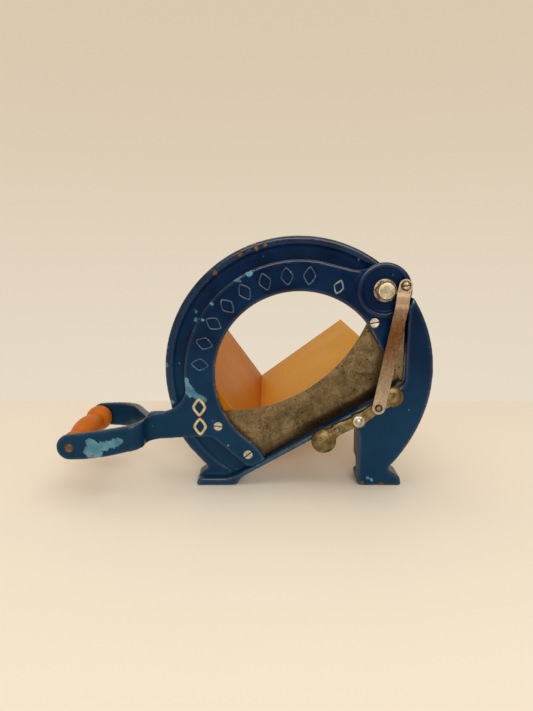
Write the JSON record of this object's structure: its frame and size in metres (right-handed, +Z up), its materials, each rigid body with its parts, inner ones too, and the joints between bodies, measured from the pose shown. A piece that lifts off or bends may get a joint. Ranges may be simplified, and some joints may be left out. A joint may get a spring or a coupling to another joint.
{
  "type": "lever bread slicer",
  "caption": "Hand-lever bread slicer: enamelled ring frame on feet, swinging cast arm with a curved steel blade and turned grip, V-shaped wooden trough, slice-thickness rocker.",
  "frame": {"origin": "on the table, under the middle of the whole object's box", "axes": "+X to the right as the person who cuts sees it, +Y away from that person along the trough, +Z up"},
  "size_m": [0.3876, 0.372, 0.265],
  "materials": {
    "blue_enamel": "glossy, chipped and worn at the edges",
    "blue_sheet": "satin",
    "worn_carbon_steel": "dull, speckled with old stains",
    "worn_nickel": "worn nickel plating",
    "plain_steel": "plain, slightly dull",
    "spring_steel": "brushed along its length",
    "plated_iron": "tarnished plating over a cast surface",
    "bronze": "turned",
    "varnished_beech": "amber varnish, satin"
  },
  "bodies": {
    "root": {"frame": "blue_enamel", "pivot_spacer": "plain_steel", "pivot_washer": "worn_nickel", "pivot_bolt": "worn_nickel", "pivot_nut_washer": "plain_steel", "pivot_nut": "plain_steel", "rocker_pin": "worn_nickel", "rocker_washer": "plain_steel", "rocker_nut_washer": "plain_steel", "rocker_nut": "plain_steel", "trough_right_board": "varnished_beech", "trough_left_board": "varnished_beech", "board_nails": "plain_steel", "trough_screws": "plain_steel", "leg_screws": "plain_steel", "rear_leg": "blue_sheet"},
    "arm": {"cutting_arm": "blue_enamel", "blade": "worn_carbon_steel", "blade_screws": "worn_nickel", "pivot_bush": "bronze", "link_spacer": "plain_steel", "link_screw": "worn_nickel", "grip_pin": "plain_steel", "grip_washers": "plain_steel"},
    "link": {"link_strap": "spring_steel"},
    "rocker": {"thickness_rocker": "plated_iron", "link_pin": "plain_steel", "spare_pin": "plain_steel"},
    "grip": {"grip": "varnished_beech"}
  },
  "joints": [
    {"name": "arm_pivot", "type": "hinge", "parent": "root", "child": "arm", "pos_m": [0.13935, -0.15445, 0.2106], "axis": [0, 1, 0], "range_deg": [0, 70]},
    {"name": "link_pivot", "type": "hinge", "parent": "arm", "child": "link", "pos_m": [0.15865, -0.15445, 0.2156], "axis": [0, 1, 0], "range_deg": [-75.2, 0]},
    {"name": "rocker_pivot", "type": "hinge", "parent": "root", "child": "rocker", "pos_m": [0.11605, -0.15445, 0.0755], "axis": [0, 1, 0], "range_deg": [0, 59.5]},
    {"name": "grip_spin", "type": "hinge", "parent": "arm", "child": "grip", "pos_m": [-0.17935, -0.12645, 0.0543], "axis": [0, 1, 0], "continuous": true}
  ],
  "couplings": [
    {"joint": "link_pivot", "follows": "arm_pivot", "ratio": -1.072},
    {"joint": "rocker_pivot", "follows": "arm_pivot", "ratio": 0.847}
  ]
}
